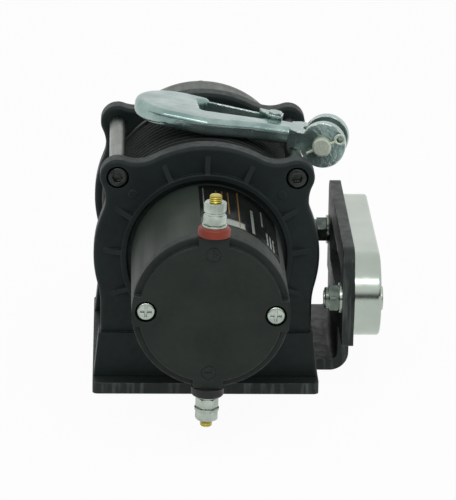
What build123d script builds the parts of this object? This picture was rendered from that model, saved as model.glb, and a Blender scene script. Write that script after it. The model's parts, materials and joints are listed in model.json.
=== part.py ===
from build123d import *
import os
from math import acos, asin, cos, degrees, pi, radians, sin, sqrt, tan

# An electric winch: a motor and a planetary gearbox at the two ends of a rope drum, on a bent steel plate.
# Millimetres. +X is the way the rope pulls, +Y runs along the drum from the motor to the gearbox, +Z is up.
# The origin lies on the plate's underside, below the middle of the drum.

# Clearances
nest_gap = 0.05          # between round pieces that sit in each other and never turn
running_gap = 0.05       # between a shaft and its bush
free_gap = 0.4           # between pieces that turn past each other
rest_gap = 0.3           # between pieces that only lie on each other
tap_room = 1.0           # a tapped hole is deeper than its screw by this much
overcut = 1.0            # a cut runs past the face it opens by this much
flat_limit = 0.01        # an edge that is thinner than this lies in one plane

# Mounting plate with its upright fairlead flange
plate_thickness = 6.0
plate_width = 118.6
plate_length = 147.0
plate_corner = 3.0
plate_end_margin = 13.0  # from a bracket's outer face to the plate's end
plate_side_margin = 0.5  # from a foot's side to the plate's side
neck_width = 95.0
neck_offset = 13.5       # the neck's middle lies this far towards the gearbox
bend_radius = 4.0        # inside of the bend
flange_face_x = 77.0     # outer face of the flange
flange_bottom_z = 25.5
flange_top_z = 77.5
flange_inset = 3.5       # the fairlead's ends stand out past the flange by this much
flange_top_corner = 9.0
flange_bottom_corner = 1.5
mount_spacing_x = 76.2
mount_spacing_y = 63.5
mount_hole_radius = 4.5

# Drum axis, brackets and tie rods
axis_z = 71.7
bracket_thickness = 13.0
bracket_rim = 4.0        # the bracket's round covers the drum's flange by this much
bracket_edge_fillet = 2.2
tie_angle = 42.2         # of the tie rods above the drum's axis
tie_rod_gap = 3.4        # between a tie rod and the edge of the drum's flange
lobe_radius = 9.3
lobe_web_radius = 18.0   # concave curve between a lobe and the round of the bracket
waist_inset = 3.7        # the waist is narrower than the round by this at each side
waist_web_radius = 40.0  # concave curve between the round of the bracket and its waist
foot_top_z = 30.0
foot_taper = 2.6         # each side of the foot leans in by this much
foot_proud = 2.5         # the foot stands this far out of the bracket's outer face
foot_edge_fillet = 1.0
tie_rod_radius = 4.4
screw_m6_radius = 3.0
head_m6_radius = 5.0
head_m6_height = 6.0
counterbore_m6_radius = 5.9
tie_screw_engagement = 12.0
foot_screw_x = 40.0
screw_m8_radius = 4.0
countersink_m8_radius = 8.0
foot_screw_engagement = 14.0
collar_outer_radius = 45.0
collar_inner_radius = 41.5
collar_height = 3.3
collar_edge_fillet = 0.8
rib_length = 9.0
rib_width = 2.6
rib_bite = 0.5           # each rib reaches this far into the collar
rib_setback = 0.3        # and ends this far short of the collar's edge
rib_angles = (64, 90, 115, 152, 177, 203, 28, 3, -23)
ejector_radius = 2.2
ejector_height = 0.4
ejector_angle = 40.7
ejector_inset = 8.0      # from the edge of the bracket's round

# Drum and rope
flange_radius = 55.0
drum_flange_thickness = 3.5
drum_end_gap = 1.2
barrel_radius = 22.0
drum_bore_radius = 15.0
journal_radius = 20.0
journal_setback = 2.0    # from the bracket's outer face to the journal's end
bush_wall = 3.0
bush_setback = 1.0       # from the bracket's outer face to the bush's end
rope_diameter = 5.5
rope_below_flange = 1.5  # the outer layer lies this far inside the flange's edge
rope_least_gap = 0.55    # between neighbouring turns
rope_bend_radius = 6.5   # where an end of the outer layer dives into the layers below
rope_start_angle = 200.0

# Motor
motor_clock = 1.7        # the motor is turned this far clockwise, seen from its own end
can_radius = 39.5
can_wall = 3.0
motor_length = 97.5      # from the bracket's face to the front of the end cap
cap_length = 11.0
cap_disc_radius = 35.8
cap_disc_depth = 3.6
cap_edge_fillet = 0.9
cap_spigot = 4.0
cap_cavity_radius = 33.0
cap_front_wall = 3.4
cap_ear_width = 15.8
terminal_boss_width = 15.0
polarity_offset = 30.8   # from the motor's axis to the middle of a polarity mark
polarity_radius = 3.6
polarity_bar = 4.2       # length of the strokes of the plus and the minus
polarity_line = 0.9
polarity_depth = 0.4
through_bolt_offset = 32.35
screw_m5_radius = 2.5
head_m5_radius = 4.8
head_m5_height = 3.0
head_m5_recess_radius = 5.5
head_m5_recess_depth = 3.4
through_bolt_engagement = 10.0
bolt_pillar_radius = 6.5
end_plate_thickness = 5.4
bearing_radius = 11.0
shaft_radius = 5.0
cap_bush_radius = 8.0
cap_bush_length = 8.0
cap_hub_radius = 12.0
magnet_thickness = 7.0
magnet_span = 120.0
magnet_margin = 4.0      # from the ends of the magnets to the ends of the core
core_radius = 28.0
core_start = 20.0        # from the bracket's face
core_length = 48.0
slot_count = 12
slot_width = 4.0
slot_depth = 9.0
winding_overhang = 6.0
winding_inner_radius = 13.0
winding_outer_radius = 25.0
commutator_radius = 11.0
commutator_length = 9.0
commutator_gap = 1.0     # between the commutator and the end turns
brush_width = 6.0
brush_length = 12.0
brush_spring_radius = 2.2
brush_spring_length = 5.0
brush_plate_thickness = 2.0
brush_plate_bore = 13.5

# Terminals
stud_radius = 3.0
stud_setback = 5.1       # from the front of the cap to the stud's axis
stud_root = 28.0         # distances from the motor's axis
stud_tip = 60.4
insulator_radius = 8.2
insulator_height = 4.6
terminal_washer_radius = 6.2
terminal_washer_height = 1.2
nut_m6_flats = 10.0
nut_m6_height = 5.1

# Planetary gearbox: three stages in one ring gear
gear_module = 1.5
sun_teeth = 12
planet_teeth = 21
ring_teeth = 54
pressure_angle = 25.0
tooth_addendum = 0.8     # in modules
tooth_dedendum = 1.1
tooth_slack = 0.3        # each tooth is thinner than half a pitch by this much
planet_count = 3
planet_pin_radius = 3.5
carrier_radius = 33.0
carrier_thicknesses = (3.5, 4.0, 5.0)   # first, second and output carrier
planet_widths = (8.0, 9.0, 10.0)        # first, second and third stage
stage_gap = 0.6
ring_outer_radius = 50.0
drive_shaft_radius = 4.0
coupling_radius = 8.5
coupling_length = 18.0
gasket_thickness = 0.8
cover_thickness = 6.4
cover_edge_fillet = 1.6
cover_screw_count = 6
screw_m4_radius = 2.0
head_m4_radius = 3.6
head_m4_height = 2.6
cover_screw_engagement = 12.0
ring_screw_count = 6
ring_screw_engagement = 10.0
knob_radius = 17.0
knob_height = 11.0
knob_grip_width = 9.0
knob_stem_radius = 6.0
knob_fillet = 1.5

# Fairlead
fairlead_length = 149.0
fairlead_height = 45.0
fairlead_thickness = 14.0
fairlead_z = 49.5
fairlead_bolt_spacing = 124.0
fairlead_edge_fillet = 1.5
rope_slot_length = 100.0
rope_slot_height = 20.0
slot_lip_radius = 6.0
flange_slot_margin = 2.0
head_m8_radius = 6.5
head_m8_height = 8.0
head_m8_proud = 1.3
counterbore_m8_radius = 7.0
nut_m8_flats = 13.0
nut_m8_height = 5.4      # its hexagon
nut_m8_collar_radius = 5.7
nut_m8_collar_height = 2.2
nut_m8_turn = -13.0      # of its flats away from level
washer_m8_radius = 8.0
washer_m8_height = 1.6
fairlead_screw_tail = 0.4

# Clevis hook, in its own frame: x from the bowl to the clevis pin, y to the tip's side, z out of its flat
hook_pin_y = -11.0
hook_yaw = 9.0
hook_thickness = 9.5
hook_corner = 2.4
hook_edge_fillet = 3.4
bowl_x = -79.2
bowl_radius = 24.0
bowl_seat_x = -70.5      # where the load hangs, deepest in the bowl
bowl_seat_y = 13.0
tip_end_x = -65.5
tip_end_inner_y = 17.0
tip_end_outer_y = 22.3
throat_x = -66.5         # corner between the bowl and the spine, inside the throat
throat_y = -4.5
heel_x = -61.0           # corner between the bowl and the spine, outside
spine_x = -37.0          # where the spine meets the shank
spine_inner_y = 3.0
spine_outer_y = -12.5
shank_half_width = 8.0
shank_x = -19.0
yoke_x = -12.5           # floor of the gap between the clevis ears
yoke_shoulder = 2.0
ear_radius = 12.0
ear_thickness = 6.0
clevis_gap = 11.0
clevis_pin_radius = 5.0
clevis_head_radius = 7.0
clevis_head_height = 3.2
clevis_pin_tail = 5.0
cotter_radius = 0.7
cotter_lean = 34.0       # of the cotter out of the hook's flat
cotter_leg = 9.0         # from the pin's axis to the end of the cotter's legs
cotter_eye_reach = 10.2  # and to the middle of its eye
cotter_eye_radius = 2.4
latch_pivot_x = -29.0
latch_pivot_y = 8.0
latch_lug_radius = 3.5
latch_lug_flare = 2.0    # the lug's foot is wider than its radius by this at each side
latch_lug_taper = 0.5    # and its top is narrower by this
latch_lug_inset = 0.6    # the lug is thinner than the hook by this at each face
latch_sheet = 1.4
latch_end_x = -66.5
latch_end_y = 14.4
latch_root_x = -25.0
latch_root_y = 12.1
latch_cheek_x = -38.0
latch_side_gap = 0.6
latch_web_inset = 0.5    # the web across the throat is narrower than the hook by this at each face
rivet_radius = 2.0
rivet_head_radius = 3.4
rivet_head_height = 1.2

# Places that follow from the sizes above
flange_span = fairlead_length - 2 * flange_inset
bracket_radius = flange_radius + bracket_rim
waist_half_width = bracket_radius - waist_inset
rope_outer_radius = flange_radius - rope_below_flange
tie_spread = flange_radius + tie_rod_gap + tie_rod_radius
tie_x = tie_spread * cos(radians(tie_angle))
tie_z = axis_z + tie_spread * sin(radians(tie_angle))
ejector_x = (bracket_radius - ejector_inset) * cos(radians(ejector_angle))
ejector_z = axis_z + (bracket_radius - ejector_inset) * sin(radians(ejector_angle))
foot_bottom_half_width = plate_width / 2 - plate_side_margin
foot_top_half_width = foot_bottom_half_width - foot_taper
bracket_outer_y = plate_length / 2 - plate_end_margin
bracket_inner_y = bracket_outer_y - bracket_thickness
drum_end_y = bracket_inner_y - drum_end_gap
drum_inner_y = drum_end_y - drum_flange_thickness
bush_radius = journal_radius + bush_wall
cap_front_y = -bracket_outer_y - motor_length
cap_back_y = cap_front_y + cap_length
can_inner_radius = can_radius - can_wall
core_front_y = -bracket_outer_y - core_start - core_length
core_back_y = -bracket_outer_y - core_start
commutator_back_y = core_front_y - winding_overhang - commutator_gap
commutator_front_y = commutator_back_y - commutator_length
brush_middle_y = (commutator_front_y + commutator_back_y) / 2
sun_radius = gear_module * sun_teeth / 2
planet_radius = gear_module * planet_teeth / 2
ring_radius = gear_module * ring_teeth / 2
planet_orbit = sun_radius + planet_radius
clevis_half_width = clevis_gap / 2 + ear_thickness


# The plane the hook lies on
def resting_plane():
    """The hook's middle plane, with its underside on the rope and the right tie rod."""
    yaw = radians(hook_yaw)
    lean = radians(tie_angle) + acos((rope_outer_radius - tie_rod_radius) / tie_spread)
    normal = Vector(cos(lean), 0, sin(lean))
    slope = Vector(sin(lean), 0, -cos(lean))
    rod_along = sqrt(tie_spread ** 2 - (rope_outer_radius - tie_rod_radius) ** 2)
    rod_below = hook_thickness / 2 + rest_gap + tie_rod_radius
    ear_clear = sqrt((ear_radius + tie_rod_radius + rest_gap) ** 2 - rod_below ** 2)
    past_rod = ear_clear * cos(yaw) + clevis_half_width * sin(yaw)
    pin = (Vector(0, hook_pin_y, axis_z) + normal * (rope_outer_radius + rest_gap + hook_thickness / 2)
           + slope * (rod_along + past_rod))
    return Plane(origin=pin, x_dir=slope * cos(yaw) - Vector(0, sin(yaw), 0), z_dir=normal)


hook_plane = resting_plane()


# Basic shapes
def rod_x(radius, x0, x1, y=0.0, z=0.0):
    """A round bar along X."""
    return Pos((x0 + x1) / 2, y, z) * Rot(0, 90, 0) * Cylinder(radius, x1 - x0)


def rod_y(radius, y0, y1, x=0.0, z=axis_z):
    """A round bar along Y, on the drum's axis unless another place is given."""
    return Pos(x, (y0 + y1) / 2, z) * Rot(90, 0, 0) * Cylinder(radius, y1 - y0)


def rod_z(radius, z0, z1, x=0.0, y=0.0):
    """A round bar along Z."""
    return Pos(x, y, (z0 + z1) / 2) * Cylinder(radius, z1 - z0)


def tube_y(outer, inner, y0, y1, x=0.0, z=axis_z):
    """A round tube along Y."""
    return rod_y(outer, y0, y1, x, z) - rod_y(inner, y0, y1, x, z)


def block(x0, x1, y0, y1, z0, z1):
    """A box given by its two corners."""
    return Pos((x0 + x1) / 2, (y0 + y1) / 2, (z0 + z1) / 2) * Box(x1 - x0, y1 - y0, z1 - z0)


def slab_y(outline, y0, y1):
    """An outline drawn in X and Z, made solid from y0 to y1."""
    return extrude(Plane.XZ.offset(-y1) * outline, amount=y1 - y0)


def slab_x(outline, x0, x1):
    """An outline drawn in Y and Z, made solid from x0 to x1."""
    return extrude(Plane.YZ.offset(x0) * outline, amount=x1 - x0)


def turned(shape, angle):
    """A shape turned about the drum's axis, from +X towards +Z."""
    return Pos(0, 0, axis_z) * Rot(0, -angle, 0) * Pos(0, 0, -axis_z) * shape


def clocked(shape):
    """A motor piece at the angle the motor is fitted at."""
    return turned(shape, -motor_clock)


def around_axis(shape, count, start=0.0):
    """Copies of a shape evenly round the drum's axis."""
    return [turned(shape, start + 360.0 * k / count) for k in range(count)]


def both_sides(make, *values):
    """The two pieces that make returns for the sides -1 and +1."""
    return [make(side, *values) for side in (-1, 1)]


def less(shape, cutters):
    """A shape with several cutters taken away."""
    for cutter in cutters:
        shape = shape - cutter
    return shape


def plus(shape, extras):
    """A shape with several extras added."""
    for extra in extras:
        shape = shape + extra
    return shape


def hexagon(flats):
    """A hexagon given by its width across flats."""
    return RegularPolygon(flats / 2, 6, major_radius=False)


def save(shape, name):
    """Write one node's solids."""
    if isinstance(shape, list):
        shape = Compound(shape)
    export_step(shape, f"parts/{name}.step")


# Mounting plate
def flange_outline():
    """The upright fairlead flange, in Y and Z."""
    height = flange_top_z - flange_bottom_z
    outline = Pos(0, flange_bottom_z + height / 2) * Rectangle(flange_span, height)
    outline = fillet(outline.vertices().group_by(Axis.Y)[-1], flange_top_corner)
    return fillet(outline.vertices().group_by(Axis.Y)[0], flange_bottom_corner)


def foot_screw_places():
    """X and Y of the four screws that hold the brackets' feet to the plate."""
    y = (bracket_inner_y + bracket_outer_y) / 2
    return [(sx * foot_screw_x, sy * y) for sx in (-1, 1) for sy in (-1, 1)]


def mount_plate():
    """Flat base, neck, bend and upright flange, all one sheet."""
    base = fillet(Rectangle(plate_width, plate_length).vertices(), plate_corner)
    base = extrude(base, amount=plate_thickness)
    outer_bend = bend_radius + plate_thickness
    bend_x = flange_face_x - outer_bend
    flange_back_x = flange_face_x - plate_thickness
    neck_y = (neck_offset - neck_width / 2, neck_offset + neck_width / 2)
    neck = block(plate_width / 2 - outer_bend, bend_x, *neck_y, 0, plate_thickness)
    bend = Pos(bend_x, outer_bend) * (Circle(outer_bend) - Circle(bend_radius))
    bend = bend & Pos(bend_x + outer_bend / 2, outer_bend / 2) * Rectangle(outer_bend, outer_bend)
    bend = slab_y(bend, *neck_y)
    upright = block(flange_back_x, flange_face_x, *neck_y, outer_bend, fairlead_z)
    plate = base + neck + bend + upright + slab_x(flange_outline(), flange_back_x, flange_face_x)
    slot = Pos(0, fairlead_z) * SlotOverall(rope_slot_length + 2 * flange_slot_margin,
                                            rope_slot_height + 2 * flange_slot_margin)
    plate -= slab_x(slot, flange_back_x, flange_face_x)
    for side in (-1, 1):
        plate -= rod_x(screw_m8_radius + free_gap, flange_back_x, flange_face_x,
                       side * fairlead_bolt_spacing / 2, fairlead_z)
    for x, y in foot_screw_places():
        plate -= rod_z(screw_m8_radius + nest_gap, 0, plate_thickness, x, y)
        plate -= countersink(x, y, nest_gap)
    for sx in (-1, 1):
        for sy in (-1, 1):
            plate -= rod_z(mount_hole_radius, 0, plate_thickness,
                           sx * mount_spacing_x / 2, sy * mount_spacing_y / 2)
    return plate


def countersink(x, y, room=0.0):
    """The cone of a countersunk head that is flush with the plate's underside."""
    height = countersink_m8_radius - screw_m8_radius
    cone = Cone(countersink_m8_radius + room, screw_m8_radius + room, height)
    return Pos(x, y, height / 2) * cone


def foot_screws():
    """Four countersunk screws from below the plate into the feet."""
    top = plate_thickness + foot_screw_engagement
    return [countersink(x, y) + rod_z(screw_m8_radius, 0, top, x, y) for x, y in foot_screw_places()]


# Brackets
def web_between(inner, outer, side):
    """Centre of the round that touches the bracket's round and a lobe, on one side of the lobe."""
    cosine = (inner ** 2 + tie_spread ** 2 - outer ** 2) / (2 * inner * tie_spread)
    angle = radians(tie_angle) + side * acos(cosine)
    return inner * cos(angle), axis_z + inner * sin(angle)


def bracket_outline():
    """Outline of both brackets in X and Z: a round, two tie-rod lobes and a waist."""
    outline = Pos(0, axis_z) * Circle(bracket_radius)
    waist_centre_x = waist_half_width + waist_web_radius
    reach = bracket_radius + waist_web_radius
    waist_z = axis_z - sqrt(reach ** 2 - waist_centre_x ** 2)
    cutters = []
    for mirror in (-1, 1):
        lobe = (mirror * tie_x, tie_z)
        outline += Pos(*lobe) * Circle(lobe_radius)
        for side in (-1, 1):
            x, z = web_between(bracket_radius + lobe_web_radius, lobe_radius + lobe_web_radius, side)
            outline += make_face(Polyline((0, axis_z), lobe, (mirror * x, z), close=True))
            cutters.append(Pos(mirror * x, z) * Circle(lobe_web_radius))
        waist_x = mirror * waist_centre_x
        outline += make_face(Polyline((0, axis_z), (waist_x, waist_z), (0, waist_z), close=True))
        cutters.append(Pos(waist_x, waist_z) * Circle(waist_web_radius))
    outline += make_face(Polyline((-waist_half_width, waist_z), (waist_half_width, waist_z),
                                  (waist_half_width, plate_thickness),
                                  (-waist_half_width, plate_thickness), close=True))
    return less(outline, cutters)


def foot_block(outer_y, inner_y):
    """The bracket's foot, which stands a little proud of its outer face."""
    corners = [(-foot_top_half_width, foot_top_z), (foot_top_half_width, foot_top_z),
               (foot_bottom_half_width, plate_thickness), (-foot_bottom_half_width, plate_thickness)]
    foot = slab_y(make_face(Polyline(corners, close=True)), min(outer_y, inner_y), max(outer_y, inner_y))
    upright = foot.edges().filter_by(lambda edge: edge.bounding_box().size.Z > foot_edge_fillet)
    return fillet(upright, foot_edge_fillet)


def plain_bracket(side):
    """What the two brackets share; side is -1 for the motor's end and +1 for the gearbox's."""
    outer_y = side * bracket_outer_y
    inner_y = side * bracket_inner_y
    bracket = slab_y(bracket_outline(), min(outer_y, inner_y), max(outer_y, inner_y))
    rims = bracket.edges().filter_by(
        lambda edge: edge.bounding_box().size.Y < flat_limit
        and edge.center().Z > plate_thickness + bracket_edge_fillet)
    bracket = fillet(rims, bracket_edge_fillet)
    bracket += foot_block(outer_y + side * foot_proud, inner_y)
    bracket -= rod_y(bush_radius + nest_gap, -bracket_outer_y, bracket_outer_y)
    head_floor = outer_y - side * (head_m6_height + nest_gap)
    for mirror in (-1, 1):
        x = mirror * tie_x
        bracket -= rod_y(screw_m6_radius + nest_gap, -bracket_outer_y, bracket_outer_y, x, tie_z)
        bracket -= rod_y(counterbore_m6_radius, min(outer_y, head_floor), max(outer_y, head_floor),
                         x, tie_z)
    for x, y in foot_screw_places():
        bracket -= rod_z(screw_m8_radius + nest_gap, plate_thickness,
                         plate_thickness + foot_screw_engagement + tap_room, x, y)
    return bracket


def collar_rib(angle):
    """A small gusset from the collar down to the bracket's face."""
    face_y = -bracket_outer_y
    root = collar_outer_radius - rib_bite
    corners = [(root, face_y), (collar_outer_radius + rib_length, face_y),
               (root, face_y - collar_height + rib_setback)]
    rib = extrude(make_face(Polyline(corners, close=True)), amount=rib_width / 2, both=True)
    return turned(Pos(0, 0, axis_z) * rib, angle)


def motor_bracket():
    """The bracket that carries the motor, with a ribbed collar round the can."""
    face_y = -bracket_outer_y
    bracket = plain_bracket(-1)
    collar = tube_y(collar_outer_radius, collar_inner_radius, face_y - collar_height, face_y)
    bracket += fillet(collar.edges().group_by(Axis.Y)[0], collar_edge_fillet)
    bracket = plus(bracket, [collar_rib(angle) for angle in rib_angles])
    for mirror in (-1, 1):
        bracket += rod_y(ejector_radius, face_y - ejector_height, face_y, mirror * ejector_x, ejector_z)
        hole = rod_y(screw_m5_radius + nest_gap, face_y, face_y + through_bolt_engagement + tap_room,
                     mirror * through_bolt_offset)
        bracket -= clocked(hole)
    return bracket


def ring_screw_radius():
    """Distance from the axis to the screws in the ring gear's wall."""
    return (ring_radius + tooth_dedendum * gear_module + ring_outer_radius) / 2


def gear_bracket():
    """The bracket that carries the gearbox, with holes for the screws into the ring gear."""
    bracket = plain_bracket(1)
    bracket -= rod_y(ring_outer_radius + nest_gap, bracket_outer_y, bracket_outer_y + foot_proud)
    x = ring_screw_radius()
    hole = rod_y(screw_m4_radius + nest_gap, bracket_inner_y, bracket_outer_y, x)
    head = rod_y(head_m4_radius + free_gap, bracket_inner_y, bracket_inner_y + head_m4_height + nest_gap, x)
    return less(bracket, around_axis(hole + head, ring_screw_count, start=30.0))


def socket_screw(head_radius, head_height, radius, length, socket_flats):
    """A socket-head screw along -Y: its head's outer face is at y = 0 and its shank runs to +Y."""
    screw = rod_y(head_radius, 0, head_height, 0, 0)
    screw = fillet(screw.edges().sort_by(Axis.Y)[0], head_radius * 0.12)
    screw += rod_y(radius, head_height, head_height + length, 0, 0)
    return screw - slab_y(hexagon(socket_flats), 0, head_height * 0.6)


def tie_rods():
    """Two bars that hold the brackets apart, tapped at both ends."""
    rods = []
    for mirror in (-1, 1):
        rod = rod_y(tie_rod_radius, -bracket_inner_y, bracket_inner_y, mirror * tie_x, tie_z)
        for side in (-1, 1):
            depth = side * (bracket_inner_y - tie_screw_engagement - tap_room)
            end = side * bracket_inner_y
            rod -= rod_y(screw_m6_radius + nest_gap, min(end, depth), max(end, depth),
                         mirror * tie_x, tie_z)
        rods.append(rod)
    return rods


def tie_rod_screws():
    """Four socket-head screws through the brackets into the tie rods."""
    length = bracket_thickness - head_m6_height + tie_screw_engagement
    screw = socket_screw(head_m6_radius, head_m6_height, screw_m6_radius, length, head_m6_radius)
    front = Pos(0, -bracket_outer_y, 0) * screw
    back = Pos(0, bracket_outer_y, 0) * Rot(0, 0, 180) * screw
    return [Pos(mirror * tie_x, 0, tie_z) * one for mirror in (-1, 1) for one in (front, back)]


# Drum and rope
def drum():
    """Barrel, two flanges and two journals, with a bore for the drive shaft."""
    shape = rod_y(barrel_radius, -drum_inner_y, drum_inner_y)
    for side in (-1, 1):
        inner, outer = side * drum_inner_y, side * drum_end_y
        end = side * (bracket_outer_y - journal_setback)
        flange = rod_y(flange_radius, min(inner, outer), max(inner, outer))
        shape += fillet(flange.edges().filter_by(GeomType.CIRCLE), drum_flange_thickness * 0.25)
        shape += rod_y(journal_radius, min(outer, end), max(outer, end))
    return shape - rod_y(drum_bore_radius, -bracket_outer_y, bracket_outer_y)


def drum_bushes():
    """A plain bush in each bracket for the drum's journal."""
    end = bracket_outer_y - bush_setback
    bush = tube_y(bush_radius, journal_radius + running_gap, bracket_inner_y, end)
    return [bush, Rot(0, 0, 180) * bush]


def rope_place(angle, radius, y):
    """A point at an angle round the drum's axis, counted from +X towards +Z."""
    return Vector(radius * cos(angle), y, axis_z + radius * sin(angle))


def biarc(start, start_dir, end, end_dir):
    """Two arcs from start to end, tangent to each other and to the two directions."""
    chord = end - start
    openness = 2 * (1 - start_dir.dot(end_dir))
    reach = chord.dot(start_dir + end_dir)
    step = (sqrt(reach ** 2 + openness * chord.dot(chord)) - reach) / openness
    first = start + start_dir * step
    last = end - end_dir * step
    middle = (first + last) * 0.5
    return [TangentArc(start, middle, tangent=start_dir), TangentArc(middle, end, tangent=last - first)]


def rope_route():
    """Centre line of the rope's outer layer, from one end's dive into the drum to the other's."""
    layer = rope_outer_radius - rope_diameter / 2
    first_y = -(drum_inner_y - rope_diameter / 2 - rope_least_gap)
    turns = int(-2 * first_y / (rope_diameter + rope_least_gap))
    pitch = -2 * first_y / turns
    lead = asin(rope_bend_radius / layer)
    quarter = pi / 2
    start = radians(rope_start_angle)
    climb = pitch / (2 * pi * layer)

    def forward(angle):
        return Vector(-sin(angle), climb, cos(angle)).normalized()

    angles = [start + k * quarter for k in range(4 * turns + 1)]
    points = [rope_place(a, layer, first_y + pitch * (a - start) / (2 * pi)) for a in angles]
    edges = []
    for k in range(len(angles) - 1):
        edges += biarc(points[k], forward(angles[k]), points[k + 1], forward(angles[k + 1]))
    end_layer = layer - rope_bend_radius
    dive_in, dive_out = angles[0] - lead, angles[-1] + lead
    ends = []
    for angle, y in ((dive_in, points[0].Y), (dive_out, points[-1].Y)):
        ends.append((rope_place(angle, end_layer, y), Vector(cos(angle), 0, sin(angle))))
    (near, near_out), (far, far_out) = ends
    edges = biarc(near, near_out, points[0], forward(angles[0])) + edges
    edges += biarc(points[-1], forward(angles[-1]), far, far_out * -1)
    near_floor = near - near_out * rope_diameter
    far_floor = far - far_out * rope_diameter
    edges = [Line(near_floor, near)] + edges + [Line(far, far_floor)]
    return Wire(edges), [(dive_in, points[0].Y, 1), (dive_out, points[-1].Y, -1)]


def least_self_gap(route):
    """Smallest free distance between turns of the rope, measured on points of its centre line."""
    count = int(route.length / rope_diameter)
    points = [route.position_at(k / count) for k in range(count + 1)]
    skip = int(2 * pi * rope_outer_radius / rope_diameter / 2)
    nearest = min((points[i] - points[j]).length
                  for i in range(count + 1) for j in range(i + skip, count + 1))
    return nearest - rope_diameter


def rope_winding(route):
    """The rope's outer layer as one unbroken tube."""
    section = Plane(origin=route @ 0, z_dir=route % 0) * Circle(rope_diameter / 2)
    tube = sweep(section, path=route)
    expected = pi * (rope_diameter / 2) ** 2 * route.length
    print("rope outer layer: length", round(route.length), "mm, least gap to itself",
          round(least_self_gap(route), 2), "mm, volume against section times length",
          round(tube.volume / expected, 4))
    return tube


def rope_core(dives):
    """The layers below the outer one, as one plain body with a pocket for each end that dives in."""
    layer = rope_outer_radius - rope_diameter / 2
    radius = layer - rope_diameter / 2 - rest_gap
    half = drum_inner_y - rest_gap
    core = tube_y(radius, barrel_radius + nest_gap, -half, half)
    floor = layer - rope_bend_radius - rope_diameter
    side_room = rope_diameter / 2 + rope_least_gap
    for angle, y, ahead in dives:
        reach = ahead * (rope_bend_radius + side_room)
        low, high = min(-ahead * side_room, reach), max(-ahead * side_room, reach)
        pocket = block(floor, rope_outer_radius, y - side_room, y + side_room, axis_z + low, axis_z + high)
        core -= turned(pocket, degrees(angle))
    return core


# Motor
def motor_can():
    """The steel can, open at both ends."""
    return clocked(tube_y(can_radius, can_inner_radius, cap_back_y, -bracket_outer_y))


def motor_end_plate():
    """The plate that closes the can against the bracket and holds the drive-end bearing."""
    y0, y1 = -bracket_outer_y - end_plate_thickness, -bracket_outer_y
    plate = tube_y(can_inner_radius - nest_gap, bearing_radius + nest_gap, y0, y1)
    holes = both_sides(lambda side: rod_y(screw_m5_radius + free_gap, y0, y1, side * through_bolt_offset))
    return clocked(less(plate, holes))


def motor_bearing():
    """Drive-end bearing of the armature shaft."""
    return tube_y(bearing_radius, shaft_radius + running_gap,
                  -bracket_outer_y - end_plate_thickness, -bracket_outer_y)


def motor_magnets():
    """Two curved magnets inside the can, clear of the through bolts."""
    outer = can_inner_radius - nest_gap
    y0, y1 = core_front_y - magnet_margin, core_back_y + magnet_margin
    ring = tube_y(outer, outer - magnet_thickness, y0, y1)
    half = radians(magnet_span / 2)
    far = 2 * outer
    wedge = make_face(Polyline((0, axis_z), (-far * sin(half), axis_z + far * cos(half)),
                               (far * sin(half), axis_z + far * cos(half)), close=True))
    magnet = ring & slab_y(wedge, y0, y1)
    return [clocked(magnet), clocked(turned(magnet, 180))]


def terminal_bosses():
    """Flat-sided bosses at the cap's top and bottom, where the studs come out."""
    half = terminal_boss_width / 2
    bosses = block(-half, half, cap_front_y, cap_back_y, axis_z - can_radius, axis_z + can_radius)
    return bosses & rod_y(can_radius, cap_front_y, cap_back_y)


def cap_ears():
    """Lugs at the cap's two sides, round the screw heads."""
    half = cap_ear_width / 2
    ears = block(-can_radius, can_radius, cap_front_y, cap_back_y, axis_z - half, axis_z + half)
    return ears & rod_y(can_radius, cap_front_y, cap_back_y)


def polarity_mark(side):
    """A ring sunk into the cap's front with a plus (+1) or a minus (-1) in it, near its terminal."""
    y0, y1 = cap_front_y, cap_front_y + polarity_depth
    z = axis_z + side * polarity_offset
    half_line, half_bar = polarity_line / 2, polarity_bar / 2
    mark = tube_y(polarity_radius + half_line, polarity_radius - half_line, y0, y1, 0, z)
    mark += block(-half_bar, half_bar, y0, y1, z - half_line, z + half_line)
    if side > 0:
        mark += block(-half_line, half_line, y0, y1, z - half_bar, z + half_bar)
    return mark


def motor_end_cap():
    """Plastic end cap with a stepped rim, screw lugs, terminal bosses and a seat for the bush."""
    step_y = cap_front_y + cap_disc_depth
    floor_y = cap_front_y + cap_front_wall
    rim = rod_y(can_radius, step_y, cap_back_y)
    disc = rod_y(cap_disc_radius, cap_front_y, step_y)
    cap = cap_ears() + terminal_bosses()
    for ring in (rim, disc):
        cap += fillet(ring.edges().group_by(Axis.Y)[0], cap_edge_fillet)
    cap += rod_y(can_inner_radius - nest_gap, cap_back_y, cap_back_y + cap_spigot)
    cap -= rod_y(cap_cavity_radius, floor_y, cap_back_y + cap_spigot)
    cap += rod_y(cap_hub_radius, floor_y, floor_y + cap_bush_length)
    cap -= rod_y(cap_bush_radius + nest_gap, floor_y, floor_y + cap_bush_length)
    for side in (-1, 1):
        x = side * through_bolt_offset
        pillar = rod_y(bolt_pillar_radius, floor_y, cap_back_y + cap_spigot, x)
        cap += pillar & rod_y(can_inner_radius - nest_gap, floor_y, cap_back_y + cap_spigot)
        cap -= rod_y(screw_m5_radius + free_gap, cap_front_y, cap_back_y + cap_spigot, x)
        cap -= rod_y(head_m5_recess_radius, cap_front_y, cap_front_y + head_m5_recess_depth, x)
        stud_hole = rod_z(stud_radius + nest_gap, stud_root - rest_gap, can_radius + overcut, 0,
                          cap_front_y + stud_setback)
        cap -= Pos(0, 0, axis_z) * Rot(0, 90 - 90 * side, 0) * stud_hole
        cap -= polarity_mark(side)
    return clocked(cap)


def cap_bush():
    """Bronze bush for the armature shaft in the end cap."""
    floor_y = cap_front_y + cap_front_wall
    return tube_y(cap_bush_radius, shaft_radius + running_gap, floor_y, floor_y + cap_bush_length)


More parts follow.
